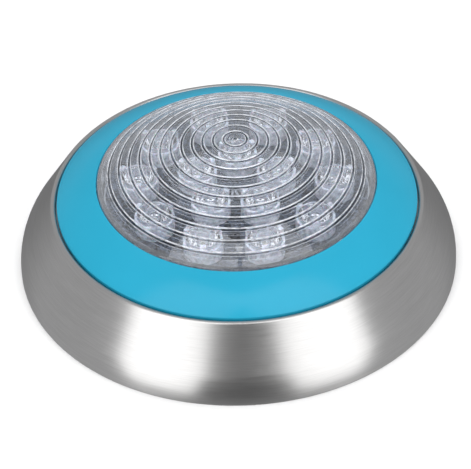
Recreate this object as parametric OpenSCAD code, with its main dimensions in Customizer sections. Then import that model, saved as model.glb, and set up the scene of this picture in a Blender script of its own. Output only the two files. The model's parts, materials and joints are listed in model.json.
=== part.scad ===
// Surface-mounted LED pool light: a stainless skirt and a coloured trim ring round a domed,
// ringed lens, on a sealed lamp body that lifts off a three-armed wall bracket.
// +Z points out of the lens, away from the wall. The origin is the middle of the wall plane.

/* [Skirt] */
// Outside diameter of the skirt at the wall
skirt_d = 230; // [229:0.5:232]
// Thickness of the skirt's sheet
skirt_t = 1.2; // [1:0.1:1.4]
// Height of the straight lip before the side starts to lean in
lip_h = 2; // [1.5:0.1:3]
// Lean of the skirt's side from upright, in degrees
side_lean = 31.6; // [31.2:0.1:32]
// Outer radius of the rolled shoulder beside the trim ring
shoulder_round = 1.6; // [1.5:0.1:1.7]
// Top of the shoulder above the wall
shoulder_top = 39.4; // [39.2:0.1:39.6]
// Inside radius of the turned-in hem that stands on the wall
hem_inner_r = 109.2; // [109:0.1:110]

/* [Trim ring] */
// Outer radius of the trim ring
trim_outer_r = 93.9; // [93.6:0.1:94]
// Inner radius of the trim ring, beside the lens
trim_inner_r = 72.8; // [72.7:0.1:73]
// Height of the trim ring's outer edge
trim_outer_z = 39.9; // [39.7:0.1:40.2]
// Height of the trim ring's inner edge
trim_inner_z = 52.4; // [52:0.1:52.6]
// Wall of the trim ring
trim_t = 2.2; // [2:0.1:2.4]
// How far the trim ring's face bows out from a straight cone
trim_bow = 1.2; // [1:0.1:1.4]
// Number of snap pegs under the trim ring
trim_pegs = 6; // [6]

/* [Lens] */
// Outer radius of the lens's upright wall
lens_r = 72.3; // [72:0.1:72.4]
// Radius of the dome's outer sphere
dome_r = 114; // [113:0.5:116]
// Height of the dome's apex above the wall
apex_z = 78.5; // [78:0.1:79]
// Wall of the lens
lens_t = 2.6; // [2.4:0.1:2.8]
// Number of moulded ring grooves, besides the small one in the middle
ring_count = 12; // [8:1:12]
// Radius of the first ring groove
ring_first_r = 6; // [6:0.1:6.4]
// Distance from one ring groove to the next
ring_pitch = 5.45; // [5.3:0.01:5.46]
// Width of a ring groove
ring_w = 1.5; // [1.2:0.1:1.6]
// Depth of a ring groove
ring_depth = 0.5; // [0.3:0.1:0.6]

/* [Light engine] */
// Number of LEDs in the outer ring
outer_leds = 10; // [8:1:10]
// Radius of the outer ring of LEDs
outer_led_r = 50.3; // [49.5:0.1:51]
// Number of LEDs in the inner ring
inner_leds = 5; // [4:1:5]
// Radius of the inner ring of LEDs
inner_led_r = 21.5; // [21:0.1:22]
// Turn of the whole LED pattern about the lamp's axis, in degrees
led_turn = -2.5; // [-3:0.5:3]
// Radius of an optic at its top flange
optic_r = 8.8; // [8.4:0.1:9]
// Height of an optic
optic_h = 10.6; // [10:0.1:11]
// Radius of the LED board
board_r = 67.5; // [67:0.1:68]
// Top of the LED board above the wall
board_top = 42.6; // [42.4:0.1:43]

/* [Lamp body] */
// Underside of the housing above the wall
housing_z = 18; // [18]
// Floor and wall thickness of the housing
housing_t = 2.5; // [2.5]
// Inside radius of the housing
housing_inner_r = 72; // [72]
// Number of screws that clamp the lens
clamp_screws_n = 6; // [6]
// Radius of the circle of clamp screws
clamp_screw_r = 84.5; // [84.3:0.1:84.7]

/* [Wall bracket] */
// Sheet thickness of the bracket
bracket_t = 2; // [2]
// Radius of the bracket's middle opening, for the conduit
bracket_hole_r = 30; // [28:1:31]
// Outer radius of the bracket's middle ring
bracket_ring_r = 46; // [45:1:47]
// Width of a bracket arm
arm_w = 24; // [22:1:26]
// Radius of the circle of wall screws
wall_screw_pcr = 70; // [69:0.5:71]
// Radius of a wall screw's hole
wall_screw_hole_r = 2.75; // [2.5:0.05:2.8]

/* [Gland] */
// Radius of the seal's bore, for the supply cable
cable_r = 3.75; // [3.5:0.05:4]
// Radius of the gland's thread through the housing floor
gland_thread_r = 8; // [8]

/* [Hidden] */
$fn = 96;

eps = 0.01;
skirt_r = skirt_d / 2;
seam = 0.6;                       // gap between the trim ring and the skirt's shoulder
seat_r = trim_outer_r + seam;     // inner face of the shoulder
shoulder_r = seat_r + shoulder_round;
shoulder_z = shoulder_top - shoulder_round;
// Where the straight side meets the shoulder's round
side_top_r = shoulder_r + shoulder_round * cos(side_lean);
side_top_z = shoulder_z + shoulder_round * sin(side_lean);
// Radius of the sweep that turns the lip into the side
sweep_r = (tan(side_lean) * (side_top_z - lip_h) - (skirt_r - side_top_r))
          * cos(side_lean) / (1 - cos(side_lean));
weld_gap = 0.05;                  // gap at the welds between the skirt's pieces
sweep_steps = 10;
shoulder_steps = 8;

// Levels of the clamped stack
flange_top = 36.2;                // top of the skirt's flange and of the lens's flange
flange_bottom = flange_top - skirt_t;
lens_flange_r = 80;
lens_flange_t = 3.4;
lens_flange_gap = 0.4;
gasket_t = 2;
gasket_z = flange_top - lens_flange_t - gasket_t;
gasket_inner_r = 74;
clamp_t = 2.6;
clamp_top = flange_top + clamp_t;
clamp_inner_r = 74.5;
clamp_outer_r = 91;
housing_flange_r = 92;
boss_z = 24;                      // underside of the screw bosses under the housing's flange

floor_z = housing_z + housing_t;
housing_wall_r = housing_inner_r + 3;
bead_r = 2;                       // half-round bead that the clips catch
bead_z = 21;
bead_out = housing_wall_r + bead_r;
clip_gap = 0.3;                   // the clips' noses are drawn pressed back to the bead

// Light engine levels
board_t = 1.6;
pad_t = 0.4;
sink_top = board_top - board_t - pad_t;
sink_plate_t = 3;
sink_r = 68.5;
sink_fin_bottom = 33;
led_side = 4;
led_h = 1.2;
led_dome_r = 1.8;
optic_z = board_top + 0.5;
holder_wall_r = optic_r + 0.15;
holder_leg_t = 1.2;
holder_leg_w = 3.2;
board_screw_r = 36;
sink_screw_r = 62.8;
sink_screws_n = 5;
sink_screw_turn = 36 + led_turn;  // midway between two outer LEDs
lead_hole_r = 4;

// Driver
driver_z = 24;
driver_t = 1.6;
driver_top = driver_z + driver_t;
driver_outer_r = 45;
driver_inner_r = 14;
driver_post_r = 40.5;
part_r = 29;                      // circle on which the driver's parts stand

// Bracket and lock screw, at the back (+Y)
arm_angles = [-60, 60, 180];      // measured about +Z from the front, -Y
clip_angles = [-60, 60];
foot_r = 52;
foot_post_r = 5;
foot_gap = 0.3;
clip_t = 0.8;
clip_w = 12;
clip_r = 79.6;                    // inner face of a clip's upright leaf
clip_foot_end = 91;
short_arm_r = 92;
ear_out = 107.9;                  // outer face of the ear for the lock screw
ear_h = 15;
ear_w = 16;
ear_corner = 3;
rivet_pcr = 86;
rivet_hole_r = 1.65;
rivet_xs = [-3.5, 3.5];
lock_z = 9;                       // height of the lock screw
lock_shank_r = 2.4;
lock_hole_r = 2.5;
lock_slot_w = 5.8;
pocket_w = 13;
pocket_floor = 109.5;             // outer face of the pocket's floor

function arc(cx, cy, r, a0, a1, n) =
  [for (i = [0:n]) let (a = a0 + (a1 - a0) * i / n) [cx + r * cos(a), cy + r * sin(a)]];

// A point at distance r from the axis, turned by angle from the front (-Y) towards +X
module at(r, angle, z = 0) {
  rotate([0, 0, angle]) translate([0, -r, z]) children();
}

module around(count, r, first = 0, z = 0) {
  for (i = [0:count - 1]) at(r, first + i * 360 / count, z) children();
}

// The same places as around(), with every copy facing the same way
module set_out(count, r, first) {
  for (i = [0:count - 1])
    let (angle = first + i * 360 / count)
      translate([r * sin(angle), -r * cos(angle), 0]) children();
}

module ring(r_out, r_in, z0, z1) {
  rotate_extrude() translate([r_in, z0]) square([r_out - r_in, z1 - z0]);
}

module hex(flat_to_flat, h) {
  cylinder(r = flat_to_flat / sqrt(3), h = h, $fn = 6);
}

module rod(a, b, r) {
  d = b - a;
  translate(a)
    rotate([0, acos(d[2] / norm(d)), atan2(d[1], d[0])])
      cylinder(r = r, h = norm(d), $fn = 24);
}

// A screw pointing down: its head stands on z = 0 and its shank hangs below it
module screw(shank_r, shank_l, head_r, head_h, drive_r) {
  difference() {
    union() {
      cylinder(r = head_r, h = head_h, $fn = 48);
      translate([0, 0, -shank_l]) cylinder(r = shank_r, h = shank_l + eps, $fn = 32);
    }
    translate([0, 0, head_h * 0.4]) rotate([0, 0, 30]) cylinder(r = drive_r, h = head_h, $fn = 6);
  }
}

// ---------- skirt ----------

function skirt_outer() = concat(
  [[skirt_r, 0], [skirt_r, lip_h]],
  arc(skirt_r - sweep_r, lip_h, sweep_r, 0, side_lean, sweep_steps),
  arc(shoulder_r, shoulder_z, shoulder_round, side_lean, 180, shoulder_steps)
);

function skirt_inner() = concat(
  arc(shoulder_r, shoulder_z, shoulder_round - skirt_t, 180, side_lean, shoulder_steps),
  arc(skirt_r - sweep_r, lip_h, sweep_r - skirt_t, side_lean, 0, sweep_steps)
);

module skirt_section() {
  polygon(concat(
    skirt_outer(),
    [[seat_r, flange_bottom], [seat_r + skirt_t, flange_bottom]],
    skirt_inner(),
    [[skirt_r - skirt_t, 0]]
  ));
}

// Arch-topped block, open at the wall, through which the lock screw's pocket is cut
module pocket_arch(width, y0, y1) {
  translate([-width / 2, y0, -1]) cube([width, y1 - y0, lock_z + 1]);
  translate([0, y1, lock_z]) rotate([90, 0, 0]) cylinder(r = width / 2, h = y1 - y0);
}

module face_skirt() {
  color("silver")
    difference() {
      union() {
        rotate_extrude($fn = 192) skirt_section();
        intersection() {
          rotate_extrude($fn = 192)
            polygon(concat([[0, 0]], skirt_outer(), [[0, shoulder_z]]));
          pocket_arch(pocket_w + 2 * skirt_t, pocket_floor - skirt_t, skirt_r + 5);
        }
      }
      pocket_arch(pocket_w, pocket_floor, skirt_r + 6);
      pocket_arch(lock_slot_w, pocket_floor - skirt_t - 8, skirt_r + 6);
    }
}

// Flat rim welded inside the skirt's lip, which lies on the wall
module skirt_rim() {
  color("silver")
    difference() {
      ring(skirt_r - skirt_t - weld_gap, hem_inner_r, 0, skirt_t);
      pocket_arch(pocket_w + 2 * (skirt_t + weld_gap), pocket_floor - skirt_t - weld_gap, skirt_r + 5);
    }
}

// Flat ring welded inside the skirt's shoulder, on which the clamp ring sits
module skirt_flange() {
  color("silver")
    difference() {
      ring(seat_r - weld_gap, lens_flange_r + lens_flange_gap, flange_bottom, flange_top);
      around(clamp_screws_n, clamp_screw_r, 30)
        translate([0, 0, flange_bottom - 1]) cylinder(r = 2.2, h = skirt_t + 2, $fn = 32);
    }
}

// ---------- trim ring ----------

// The trim ring's face is an arc through its two edges, bowed out by trim_bow
trim_chord = norm([trim_outer_r - trim_inner_r, trim_inner_z - trim_outer_z]);
trim_arc_r = trim_chord * trim_chord / (8 * trim_bow) + trim_bow / 2;
trim_tilt = atan2(trim_outer_r - trim_inner_r, trim_inner_z - trim_outer_z);
trim_half = asin(trim_chord / 2 / trim_arc_r);
trim_mid = [(trim_outer_r + trim_inner_r) / 2, (trim_inner_z + trim_outer_z) / 2];
trim_cx = trim_mid[0] - (trim_arc_r - trim_bow) * cos(trim_tilt);
trim_cy = trim_mid[1] - (trim_arc_r - trim_bow) * sin(trim_tilt);
trim_lip_bottom = flange_top + 0.4;
trim_inner_bottom = 45.5;
trim_steps = 12;

module trim_ring() {
  peg_r = 2;
  face_inner_top = 44;
  color([0.16, 0.69, 0.86])
    union() {
      rotate_extrude($fn = 192)
        polygon(concat(
          [[trim_outer_r - trim_t, trim_lip_bottom], [trim_outer_r, trim_lip_bottom]],
          arc(trim_cx, trim_cy, trim_arc_r, trim_tilt - trim_half, trim_tilt + trim_half, trim_steps),
          [[trim_inner_r, trim_inner_bottom], [trim_inner_r + trim_t, trim_inner_bottom]],
          arc(trim_cx, trim_cy, trim_arc_r - trim_t,
              trim_tilt + trim_half * 0.78, trim_tilt - trim_half * 0.84, trim_steps)
        ));
      around(trim_pegs, clamp_screw_r)
        translate([0, 0, flange_top + 0.5]) cylinder(r = peg_r, h = face_inner_top - flange_top, $fn = 32);
    }
}

// ---------- lens and its clamp ----------

function dome_z(r) = apex_z - dome_r + sqrt(dome_r * dome_r - r * r);
ring_radii = concat([2], [for (i = [0:ring_count - 1]) ring_first_r + i * ring_pitch]);
dome_inner_r = dome_r - lens_t;
lens_inner_r = lens_r - 3.2;
function dome_inner_z(r) = apex_z - dome_r + sqrt(dome_inner_r * dome_inner_r - r * r);
lens_edge = 1;
lens_steps = 12;

module lens() {
  color([0.85, 0.9, 0.95, 0.4])
    rotate_extrude($fn = 192)
      polygon(concat(
        [[0, apex_z]],
        [for (r = ring_radii, k = [0:3])
          let (q = r + ring_w * [-0.5, -0.25, 0.25, 0.5][k])
            [q, dome_z(q) - (k == 1 || k == 2 ? ring_depth : 0)]],
        [[lens_r - lens_edge, dome_z(lens_r - lens_edge)],
         [lens_r, dome_z(lens_r) - lens_edge / 2],
         [lens_r, flange_top], [lens_flange_r, flange_top],
         [lens_flange_r, flange_top - lens_flange_t],
         [lens_inner_r, flange_top - lens_flange_t]],
        [for (i = [lens_steps:-1:0])
          let (r = lens_inner_r * i / lens_steps) [r, dome_inner_z(r)]]
      ));
}

module lens_gasket() {
  color("dimgray") ring(lens_flange_r, gasket_inner_r, gasket_z, gasket_z + gasket_t);
}

module clamp_ring() {
  color("lightgray")
    difference() {
      ring(clamp_outer_r, clamp_inner_r, flange_top, clamp_top);
      around(clamp_screws_n, clamp_screw_r, 30)
        translate([0, 0, flange_top - 1]) cylinder(r = 2.2, h = clamp_t + 2, $fn = 32);
      around(trim_pegs, clamp_screw_r)
        translate([0, 0, flange_top - 1]) cylinder(r = 2.4, h = clamp_t + 2, $fn = 32);
    }
}

module clamp_screws() {
  color("silver")
    around(clamp_screws_n, clamp_screw_r, 30) translate([0, 0, clamp_top]) screw(1.95, 12, 3.4, 2, 1.2);
}

// ---------- housing ----------

module housing() {
  bevel = 2;
  flare_z = 24.5;
  color("gainsboro")
    difference() {
      union() {
        rotate_extrude($fn = 192)
          polygon([
            [0, housing_z], [housing_wall_r - bevel, housing_z],
            [housing_wall_r, housing_z + bevel], [housing_wall_r, flare_z],
            [82, 28.2], [housing_flange_r, 31.8], [housing_flange_r, flange_bottom],
            [lens_flange_r + lens_flange_gap, flange_bottom],
            [lens_flange_r + lens_flange_gap, gasket_z], [housing_inner_r, gasket_z],
            [housing_inner_r, floor_z], [0, floor_z]
          ]);
        rotate_extrude($fn = 192)
          intersection() {
            translate([housing_wall_r, bead_z]) circle(r = bead_r, $fn = 32);
            translate([housing_wall_r - 1, 0]) square([10, 50]);
          }
        around(clamp_screws_n, clamp_screw_r, 30)
          translate([0, 0, boss_z]) cylinder(r = 4.2, h = flange_bottom - boss_z - 2, $fn = 48);
        around(sink_screws_n, sink_screw_r, sink_screw_turn)
          translate([0, 0, floor_z - 1]) cylinder(r = 4, h = sink_fin_bottom - floor_z + 1, $fn = 48);
      }
      around(clamp_screws_n, clamp_screw_r, 30)
        translate([0, 0, boss_z + 1.6]) cylinder(r = 2, h = 20, $fn = 32);
      around(sink_screws_n, sink_screw_r, sink_screw_turn)
        translate([0, 0, floor_z + 1]) cylinder(r = 1.5, h = 20, $fn = 32);
      translate([0, 0, housing_z - 1]) cylinder(r = gland_thread_r + 0.05, h = housing_t + 2);
    }
}

// Posts under the housing that stand on the bracket's arms
module housing_feet() {
  color("gainsboro")
    for (a = arm_angles)
      at(foot_r, a, bracket_t + foot_gap)
        cylinder(r = foot_post_r, h = housing_z - bracket_t - foot_gap, $fn = 48);
}

// ---------- light engine ----------

module heat_sink() {
  fin_t = 2;
  fin_pitch = 9;
  clear_r = 15.5;
  fin_circle_r = 57.5;
  tap_floor = 0.2;
  plate_bottom = sink_top - sink_plate_t;
  color("lightsteelblue")
    difference() {
      union() {
        translate([0, 0, plate_bottom]) cylinder(r = sink_r, h = sink_plate_t, $fn = 192);
        intersection() {
          for (i = [-6:6])
            translate([i * fin_pitch - fin_t / 2, -sink_r, sink_fin_bottom])
              cube([fin_t, 2 * sink_r, plate_bottom - sink_fin_bottom + 1]);
          ring(fin_circle_r, clear_r, sink_fin_bottom, plate_bottom + 1);
        }
        around(sink_screws_n, sink_screw_r, sink_screw_turn)
          translate([0, 0, sink_fin_bottom]) cylinder(r = 4, h = plate_bottom - sink_fin_bottom + 1, $fn = 48);
      }
      translate([0, 0, sink_fin_bottom - 1]) cylinder(r = lead_hole_r + 1.5, h = 20, $fn = 48);
      around(sink_screws_n, sink_screw_r, sink_screw_turn)
        translate([0, 0, sink_fin_bottom - 1]) cylinder(r = 1.7, h = 20, $fn = 32);
      around(inner_leds, board_screw_r, led_turn)
        translate([0, 0, plate_bottom + tap_floor]) cylinder(r = 1.3, h = sink_plate_t, $fn = 32);
    }
}

module heat_sink_screws() {
  color("silver")
    around(sink_screws_n, sink_screw_r, sink_screw_turn)
      translate([0, 0, board_top]) screw(1.45, 19, 2.8, 1.8, 1);
}

module plate_holes(z, h) {
  around(sink_screws_n, sink_screw_r, sink_screw_turn)
    translate([0, 0, z]) cylinder(r = 1.7, h = h, $fn = 32);
  around(inner_leds, board_screw_r, led_turn)
    translate([0, 0, z]) cylinder(r = 1.7, h = h, $fn = 32);
  translate([0, 0, z]) cylinder(r = lead_hole_r, h = h, $fn = 48);
}

module thermal_pad() {
  color("lightgray")
    difference() {
      translate([0, 0, sink_top]) cylinder(r = board_r - 2, h = pad_t);
      plate_holes(sink_top - 1, pad_t + 2);
    }
}

module led_board() {
  color([0.25, 0.27, 0.3])
    difference() {
      translate([0, 0, sink_top + pad_t]) cylinder(r = board_r, h = board_t);
      plate_holes(sink_top, board_t + 2);
    }
}

module board_screws() {
  color("silver")
    around(inner_leds, board_screw_r, led_turn) translate([0, 0, board_top]) screw(1.25, 4.5, 2.6, 1.6, 0.9);
}

module board_resistors() {
  color("black")
    around(outer_leds, 35.5, led_turn + 18)
      translate([-1.6, -0.8, board_top]) cube([3.2, 1.6, 0.7]);
}

module led() {
  color("white") translate([-led_side / 2, -led_side / 2, board_top]) cube([led_side, led_side, led_h]);
  color("khaki")
    intersection() {
      translate([0, 0, board_top + led_h]) sphere(r = led_dome_r, $fn = 32);
      translate([-led_side / 2, -led_side / 2, board_top + led_h - eps]) cube([led_side, led_side, led_side]);
    }
}

module leds_outer() {
  around(outer_leds, outer_led_r, 18 + led_turn) led();
}

module leds_inner() {
  around(inner_leds, inner_led_r, 36 + led_turn) led();
}

// A clear collimator: a cone over a pocket for the LED, with a flange at its top
module optic() {
  foot_radius = 4;
  flange_h = 1.4;
  pocket_radius = 3;
  pocket_h = 4.6;
  dimple_r = 3.2;
  dimple_h = 1.6;
  color([0.9, 0.93, 0.96, 0.5])
    translate([0, 0, optic_z])
      rotate_extrude($fn = 64)
        polygon([
          [foot_radius, 0], [optic_r - 0.5, optic_h - flange_h], [optic_r, optic_h - flange_h],
          [optic_r, optic_h], [dimple_r, optic_h], [dimple_r - 0.8, optic_h - dimple_h],
          [0, optic_h - dimple_h], [0, pocket_h + 0.5], [pocket_radius, pocket_h], [pocket_radius, 0]
        ]);
}

module optics_outer() {
  around(outer_leds, outer_led_r, 18 + led_turn) optic();
}

module optics_inner() {
  around(inner_leds, inner_led_r, 36 + led_turn) optic();
}

// A cup on the board with three legs that clip over the optic's flange
module optic_holder() {
  foot_in = 5.2;
  foot_h = 1.2;
  cup_h = 8.4;
  hook_h = 0.9;
  hook_in = 1;
  hook_gap = 0.15;
  leg_h = optic_z + optic_h + hook_gap + hook_h - board_top;
  color("whitesmoke") {
    ring(holder_wall_r + holder_leg_t, foot_in, board_top, board_top + foot_h);
    ring(holder_wall_r + holder_leg_t, holder_wall_r, board_top, board_top + cup_h);
    for (a = [60, 180, 300])
      rotate([0, 0, a]) {
        translate([-holder_leg_w / 2, holder_wall_r, board_top])
          cube([holder_leg_w, holder_leg_t, leg_h]);
        translate([-holder_leg_w / 2, holder_wall_r - hook_in, board_top + leg_h - hook_h])
          cube([holder_leg_w, hook_in + holder_leg_t, hook_h]);
      }
  }
}

module optic_holders_outer() {
  set_out(outer_leds, outer_led_r, 18 + led_turn) optic_holder();
}

module optic_holders_inner() {
  set_out(inner_leds, inner_led_r, 36 + led_turn) optic_holder();
}

// ---------- driver ----------

module driver_board() {
  color("seagreen")
    difference() {
      ring(driver_outer_r, driver_inner_r, driver_z, driver_top);
      around(4, driver_post_r, 45)
        translate([0, 0, driver_z - 1]) cylinder(r = 1.7, h = driver_t + 2, $fn = 32);
    }
}

module driver_standoffs() {
  color("gold")
    around(4, driver_post_r, 45)
      difference() {
        translate([0, 0, floor_z]) hex(5.5, driver_z - floor_z);
        translate([0, 0, floor_z + 0.8]) cylinder(r = 1.5, h = 10, $fn = 32);
      }
}

module driver_screws() {
  color("silver") around(4, driver_post_r, 45) translate([0, 0, driver_top]) screw(1.45, 4, 2.7, 1.6, 0.9);
}

module capacitors() {
  cap_r = 3.2;
  cap_l = 13;
  color("midnightblue")
    for (a = [150, 180])
      at(part_r, a, driver_top + cap_r + 0.1)
        translate([0, cap_l / 2, 0]) rotate([90, 0, 0]) cylinder(r = cap_r, h = cap_l, $fn = 48);
}

inductor_angle = -90;
inductor_h = 6.4;

module inductor_core() {
  color("dimgray")
    at(part_r, inductor_angle, driver_top) {
      cylinder(r = 6.5, h = 1, $fn = 48);
      cylinder(r = 3, h = inductor_h, $fn = 48);
      translate([0, 0, inductor_h - 1]) cylinder(r = 6.5, h = 1, $fn = 48);
    }
}

module inductor_coil() {
  color("chocolate") at(part_r, inductor_angle, driver_top) ring(5.8, 3.1, 1.1, inductor_h - 1.1);
}

module rectifier() {
  color("black") at(part_r, -135, driver_top) translate([-4, -4, 0]) cube([8, 8, 3]);
}

module driver_chips() {
  color("black")
    for (a = [-50, -22]) at(part_r, a, driver_top) translate([-2.5, -3, 0]) cube([5, 6, 1.7]);
}

terminal_angle = 110;

module terminal_block() {
  color("limegreen")
    at(part_r, terminal_angle, driver_top)
      difference() {
        translate([-6, -4, 0]) cube([12, 8, 6.6]);
        for (x = [-3, 3]) {
          translate([x, 0, 3]) cylinder(r = 1.9, h = 5, $fn = 32);
          translate([x, 0, 1.6]) rotate([-90, 0, 0]) cylinder(r = 1.2, h = 6, $fn = 32);
        }
      }
}

module terminal_screws() {
  color("silver")
    at(part_r, terminal_angle, driver_top)
      for (x = [-3, 3]) translate([x, 0, 3.1]) cylinder(r = 1.8, h = 2.4, $fn = 32);
}

lead_pitch = 2;
lead_r = 0.7;
connector_angle = 30;
connector_h = 5;

module led_connector() {
  color("white")
    at(part_r, connector_angle, driver_top)
      difference() {
        translate([-5, -3, 0]) cube([10, 6, connector_h]);
        for (i = [-1.5:1:1.5])
          translate([i * lead_pitch, 0, 1.5]) cylinder(r = lead_r + 0.02, h = 10, $fn = 24);
      }
}

// Four leads from the connector, in to the middle and up through the heat sink to the LED board
module led_leads() {
  turn_z = 31.9;
  top_z = board_top + 1.2;
  middle_pitch = 1.6;
  pad_pitch = 4.5;
  pad_y = -6.5;
  color("firebrick")
    rotate([0, 0, connector_angle])
      for (i = [-1.5:1:1.5])
        let (
          start = [i * lead_pitch, -part_r, driver_top + 1.6],
          rise = [i * lead_pitch, -part_r, turn_z],
          middle = [i * middle_pitch, 0, turn_z],
          top = [i * middle_pitch, 0, top_z],
          pad = [i * pad_pitch, pad_y, board_top + lead_r + 0.1],
          route = [start, rise, middle, top, pad]
        )
          union() {
            for (k = [0:3]) rod(route[k], route[k + 1], lead_r);
            for (k = [1:3]) translate(route[k]) sphere(r = lead_r * 1.08, $fn = 24);
          }
}

module lead_grommet() {
  plate_bottom = sink_top - sink_plate_t;
  color("dimgray")
    rotate_extrude()
      polygon([
        [lead_hole_r - 0.6, plate_bottom - 1.2], [lead_hole_r + 2.6, plate_bottom - 1.2],
        [lead_hole_r + 2.6, plate_bottom - 0.05], [lead_hole_r + 1.4, plate_bottom - 0.05],
        [lead_hole_r + 1.4, sink_top - 0.1], [lead_hole_r - 0.6, sink_top - 0.1]
      ]);
}

// ---------- cable gland ----------

gland_hex = 20;
gland_collar_z = 14;
gland_washer_t = 1;
gland_tube_r = 7;
gland_tube_z = 5.5;
gland_bore_r = 4.5;
gland_seat_r = 5.6;
gland_nut_z = 2;
gland_nut_top = 12.6;

module gland_body() {
  color([0.15, 0.15, 0.16])
    difference() {
      union() {
        translate([0, 0, gland_collar_z]) hex(gland_hex, housing_z - gland_washer_t - gland_collar_z);
        translate([0, 0, gland_tube_z]) cylinder(r = gland_tube_r, h = 10);
        translate([0, 0, housing_z - 2]) cylinder(r = gland_thread_r, h = 8.6);
      }
      translate([0, 0, -1]) cylinder(r = gland_bore_r, h = 60);
      translate([0, 0, -1]) cylinder(r = gland_seat_r, h = gland_collar_z + 0.4);
    }
}

module gland_washer() {
  color("dimgray") ring(10, gland_thread_r + 0.05, housing_z - gland_washer_t, housing_z);
}

module gland_locknut() {
  color([0.2, 0.2, 0.21])
    difference() {
      translate([0, 0, floor_z]) hex(22, 3);
      translate([0, 0, floor_z - 1]) cylinder(r = gland_thread_r + 0.05, h = 6);
    }
}

module gland_seal() {
  color("dimgray") ring(gland_seat_r - 0.05, cable_r, gland_tube_z + 0.1, gland_collar_z - 0.8);
}

module gland_nut() {
  color([0.15, 0.15, 0.16])
    difference() {
      intersection() {
        translate([0, 0, gland_nut_z]) hex(gland_hex, gland_nut_top - gland_nut_z);
        rotate_extrude()
          polygon([[0, gland_nut_z], [8.6, gland_nut_z], [11.8, gland_nut_z + 3.2],
                   [11.8, gland_nut_top], [0, gland_nut_top]]);
      }
      translate([0, 0, gland_nut_z - 1]) cylinder(r = cable_r + 0.7, h = 10);
      translate([0, 0, gland_nut_z + 2.4]) cylinder(r = gland_tube_r + 0.08, h = 20);
    }
}

// ---------- wall bracket ----------

module bracket_outline() {
  difference() {
    union() {
      circle(r = bracket_ring_r);
      for (a = clip_angles)
        rotate([0, 0, a]) translate([-arm_w / 2, -short_arm_r]) square([arm_w, short_arm_r]);
      translate([-arm_w / 2, 0]) square([arm_w, ear_out - 6]);
      translate([-ear_w / 2, 0]) square([ear_w, ear_out]);
    }
    circle(r = bracket_hole_r);
    for (a = arm_angles)
      rotate([0, 0, a]) translate([0, -wall_screw_pcr]) circle(r = wall_screw_hole_r, $fn = 48);
    for (a = clip_angles, x = rivet_xs)
      rotate([0, 0, a]) translate([x, -rivet_pcr]) circle(r = rivet_hole_r, $fn = 32);
  }
}

module wall_bracket() {
  color("silver")
    union() {
      linear_extrude(height = bracket_t) bracket_outline();
      translate([0, ear_out, 0])
        rotate([90, 0, 0])
          linear_extrude(height = bracket_t)
            difference() {
              polygon([
                [-ear_w / 2, 0], [ear_w / 2, 0], [ear_w / 2, ear_h - ear_corner],
                [ear_w / 2 - ear_corner, ear_h], [ear_corner - ear_w / 2, ear_h],
                [-ear_w / 2, ear_h - ear_corner]
              ]);
              translate([0, lock_z]) circle(r = lock_hole_r, $fn = 48);
            }
    }
}

// Leaf springs: a foot on the arm, an upright leaf, and a nose just over the housing's bead
module spring_clips() {
  nose_r = bead_out + clip_gap;
  nose_z = 23.6;
  color("silver")
    for (a = clip_angles)
      rotate([0, 0, a])
        difference() {
          rotate([90, 0, -90])
            translate([0, 0, -clip_w / 2])
              linear_extrude(height = clip_w)
                polygon([
                  [clip_foot_end, bracket_t], [clip_foot_end, bracket_t + clip_t],
                  [clip_r + clip_t, bracket_t + clip_t], [clip_r + clip_t, nose_z - 2.2],
                  [nose_r + clip_t, nose_z], [clip_r + 1.2, nose_z + 2.2],
                  [clip_r + 0.6, nose_z + 2.6], [nose_r, nose_z + 0.2], [nose_r, nose_z - 0.3],
                  [clip_r, nose_z - 2.6], [clip_r, bracket_t]
                ]);
          for (x = rivet_xs)
            translate([x, -rivet_pcr, 0]) cylinder(r = rivet_hole_r, h = 10, $fn = 32);
        }
}

module clip_rivets() {
  color("silver")
    for (a = clip_angles, x = rivet_xs)
      rotate([0, 0, a])
        translate([x, -rivet_pcr, 0]) {
          translate([0, 0, 0.3]) cylinder(r = 1.6, h = bracket_t + clip_t, $fn = 32);
          translate([0, 0, bracket_t + clip_t]) cylinder(r = 2.8, h = 1.2, $fn = 32);
        }
}

module lock_nut() {
  nut_t = 4;
  color("silver")
    translate([0, ear_out - bracket_t, lock_z])
      rotate([90, 0, 0])
        difference() {
          hex(8, nut_t);
          translate([0, 0, -1]) cylinder(r = lock_hole_r, h = nut_t + 2);
        }
}

module lock_screw() {
  color("silver")
    translate([0, pocket_floor + 0.3, lock_z]) rotate([-90, 0, 0]) screw(lock_shank_r, 11, 4.5, 2.3, 1.6);
}

wall_bracket();
spring_clips();
clip_rivets();
lock_nut();
lock_screw();
housing();
housing_feet();
heat_sink();
heat_sink_screws();
thermal_pad();
led_board();
board_screws();
board_resistors();
leds_outer();
leds_inner();
optics_outer();
optics_inner();
optic_holders_outer();
optic_holders_inner();
driver_board();
driver_standoffs();
driver_screws();
capacitors();
inductor_core();
inductor_coil();
rectifier();
driver_chips();
terminal_block();
terminal_screws();
led_connector();
led_leads();
lead_grommet();
gland_body();
gland_washer();
gland_locknut();
gland_seal();
gland_nut();
lens_gasket();
lens();
face_skirt();
skirt_rim();
skirt_flange();
clamp_ring();
clamp_screws();
trim_ring();
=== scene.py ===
import json
import math

import bmesh
import bpy
from mathutils import Matrix, Vector


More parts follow.
